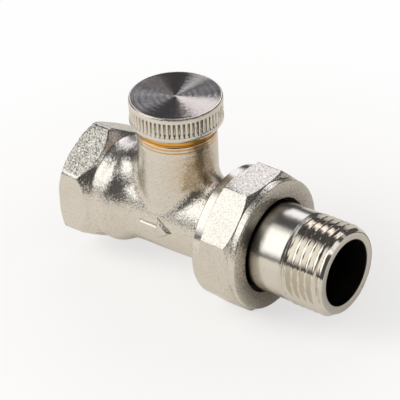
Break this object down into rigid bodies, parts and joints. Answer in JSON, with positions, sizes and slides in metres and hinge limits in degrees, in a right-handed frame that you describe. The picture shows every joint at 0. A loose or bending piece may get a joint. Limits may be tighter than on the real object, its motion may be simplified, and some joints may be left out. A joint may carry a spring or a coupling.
{
  "type": "manual radiator valve",
  "caption": "Straight radiator valve: hexagonal inlet socket, blended neck with knurled cap over a key-turned spindle, octagonal union nut and threaded tailpiece.",
  "frame": {"origin": "centre of the inlet socket's mouth, on the pipe's axis", "axes": "+X along the flow to the tailpiece, +Z along the spindle towards the cap, +Y away from the side that the picture shows"},
  "size_m": [0.071, 0.0306, 0.0448],
  "materials": {
    "nickel_forging": "nickel plated over a blasted forging",
    "nickel_turned": "nickel plated, top face turned",
    "nickel_nut": "nickel plated over a blasted blank",
    "nickel_bright": "bright nickel plating",
    "brass": "machined brass",
    "rubber": "black rubber",
    "fibre": "fibre gasket"
  },
  "bodies": {
    "valve": {"valve_body": "nickel_forging", "bonnet": "brass", "bonnet_o_ring": "rubber"},
    "disc": {"valve_disc": "brass", "disc_seal": "rubber", "disc_screw": "brass"},
    "spindle": {"spindle": "brass", "spindle_o_ring_lower": "rubber", "spindle_o_ring_upper": "rubber"},
    "gasket": {"cap_gasket": "fibre"},
    "cap": {"protective_cap": "nickel_turned"},
    "union_seal": {"tailpiece_o_ring": "rubber"},
    "nut": {"union_nut": "nickel_nut"},
    "tail": {"tailpiece": "nickel_bright"}
  },
  "joints": [
    {"name": "disc_lift", "type": "slide", "parent": "valve", "child": "disc", "axis": [0, 0, 1], "range_m": [0, 0.0032]},
    {"name": "spindle_turn", "type": "hinge", "parent": "disc", "child": "spindle", "pos_m": [0.0253, 0, 0.0205], "axis": [0, 0, 1], "range_deg": [0, 1152]},
    {"name": "cap_lift", "type": "slide", "parent": "valve", "child": "gasket", "axis": [0, 0, 1], "range_m": [0, 0.0045]},
    {"name": "cap_turn", "type": "hinge", "parent": "gasket", "child": "cap", "pos_m": [0.0253, 0, 0.025], "axis": [0, 0, 1], "range_deg": [0, 1620]},
    {"name": "union_draw", "type": "slide", "parent": "valve", "child": "union_seal", "axis": [1, 0, 0], "range_m": [0, 0.00726]},
    {"name": "nut_turn", "type": "hinge", "parent": "union_seal", "child": "nut", "pos_m": [0.044, 0, 0], "axis": [1, 0, 0], "range_deg": [0, 1440]},
    {"name": "tailpiece_turn", "type": "hinge", "parent": "union_seal", "child": "tail", "pos_m": [0.055, 0, 0], "axis": [1, 0, 0], "continuous": true}
  ],
  "couplings": [
    {"joint": "disc_lift", "follows": "spindle_turn", "m_per_rad": 0.00015915},
    {"joint": "cap_lift", "follows": "cap_turn", "m_per_rad": 0.00015915},
    {"joint": "union_draw", "follows": "nut_turn", "m_per_rad": 0.00028871}
  ]
}
